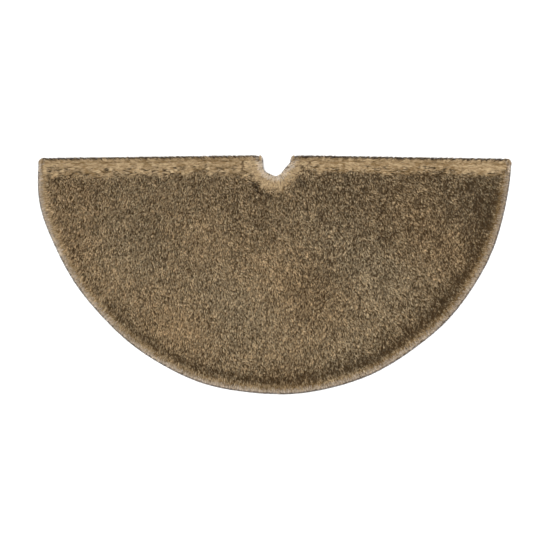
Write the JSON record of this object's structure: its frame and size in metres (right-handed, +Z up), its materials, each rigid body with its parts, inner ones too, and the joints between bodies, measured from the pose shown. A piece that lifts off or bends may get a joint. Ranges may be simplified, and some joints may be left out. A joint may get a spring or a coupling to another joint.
{
  "type": "tree skirt",
  "caption": "Round short-pile faux-fur tree skirt with a trunk hole and a slit, folded in half with the fur outside and laid flat.",
  "frame": {"origin": "bottom centre of the folded skirt's box, on the surface it lies on", "axes": "+X along the fold, +Y from the hem toward the fold, +Z up through the folded layers"},
  "size_m": [1.2192, 0.6226, 0.0341],
  "materials": {
    "fur": "short-pile faux mink, taupe brown with lighter golden roots",
    "lining": "plain-weave polyester lining, taupe",
    "tab_webbing": "folded twill tape, brown",
    "hook_loop_tape": "hook-and-loop tape, dark brown"
  },
  "bodies": {
    "top_half": {"top_fur_panel": "fur", "top_lining": "lining", "left_fur_fold": "fur", "right_fur_fold": "fur", "left_lining_fold": "lining", "right_lining_fold": "lining"},
    "left_flap": {"left_flap_fur_panel": "fur", "left_flap_lining": "lining", "closure_tab_1": "tab_webbing", "closure_tab_2": "tab_webbing", "closure_tab_3": "tab_webbing", "hook_tape_1": "hook_loop_tape", "hook_tape_2": "hook_loop_tape", "hook_tape_3": "hook_loop_tape"},
    "right_flap": {"right_flap_fur_panel": "fur", "right_flap_lining": "lining", "loop_tape_1": "hook_loop_tape", "loop_tape_2": "hook_loop_tape", "loop_tape_3": "hook_loop_tape"}
  },
  "joints": [
    {"name": "left_unfold", "type": "hinge", "parent": "top_half", "child": "left_flap", "pos_m": [-0.3238, 0.29427, 0.01705], "axis": [1, 0, 0], "range_deg": [0, 180], "deforming": ["left_fur_fold", "left_lining_fold"]},
    {"name": "right_unfold", "type": "hinge", "parent": "top_half", "child": "right_flap", "pos_m": [0.3238, 0.29427, 0.01705], "axis": [1, 0, 0], "range_deg": [0, 180], "deforming": ["right_fur_fold", "right_lining_fold"]}
  ]
}
